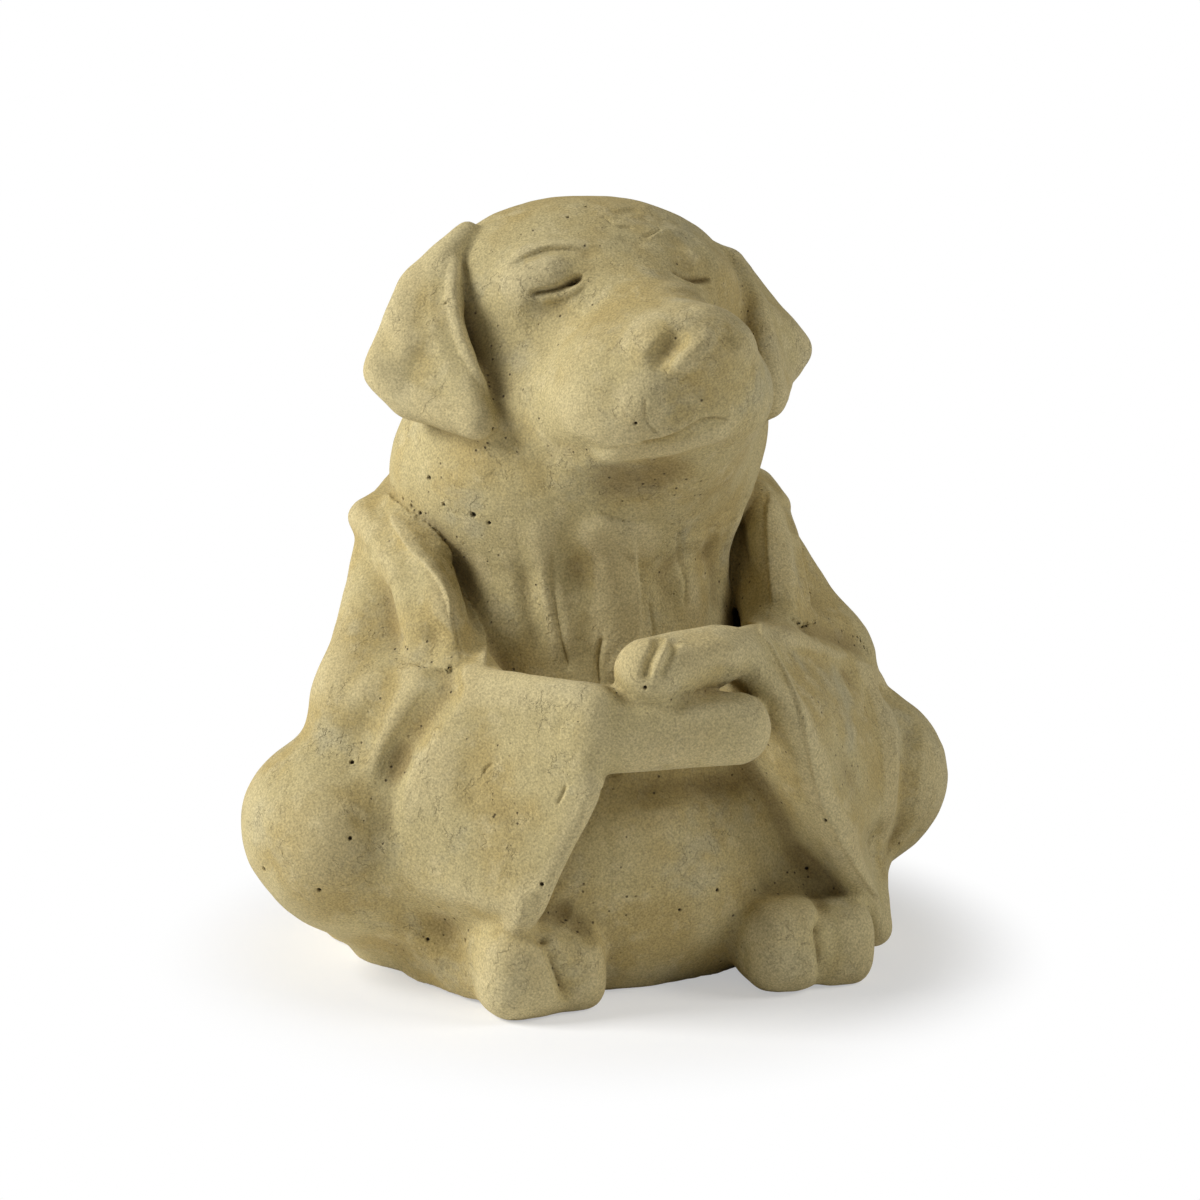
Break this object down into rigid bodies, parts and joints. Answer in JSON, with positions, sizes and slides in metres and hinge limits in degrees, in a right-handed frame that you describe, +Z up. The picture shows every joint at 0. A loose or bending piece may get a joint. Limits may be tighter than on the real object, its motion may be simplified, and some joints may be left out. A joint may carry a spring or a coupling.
{
  "type": "dog figurine",
  "caption": "Free-standing cast-stone garden figure of a dog sitting cross-legged in a wide-sleeved robe, paws folded on its belly.",
  "frame": {"origin": "on the surface that the figure stands on, under the middle of its bounding box", "axes": "+Z up, -Y towards the figure's front, where its feet and snout point, -X towards its right-hand side"},
  "size_m": [0.2392, 0.1718, 0.2436],
  "materials": {
    "cast_stone": "dry-cast sandy buff stone, matt, open-pored, with fine sand grain and small air holes"
  },
  "bodies": {
    "root": {"head": "cast_stone", "right_ear": "cast_stone", "left_ear": "cast_stone", "neck": "cast_stone", "right_paw": "cast_stone", "left_paw": "cast_stone", "right_foot": "cast_stone", "left_foot": "cast_stone", "torso": "cast_stone", "right_lapel": "cast_stone", "left_lapel": "cast_stone", "back_collar": "cast_stone", "right_sleeve": "cast_stone", "left_sleeve": "cast_stone", "right_shoulder": "cast_stone", "left_shoulder": "cast_stone", "right_knee": "cast_stone", "left_knee": "cast_stone", "robe_back": "cast_stone"}
  },
  "joints": []
}
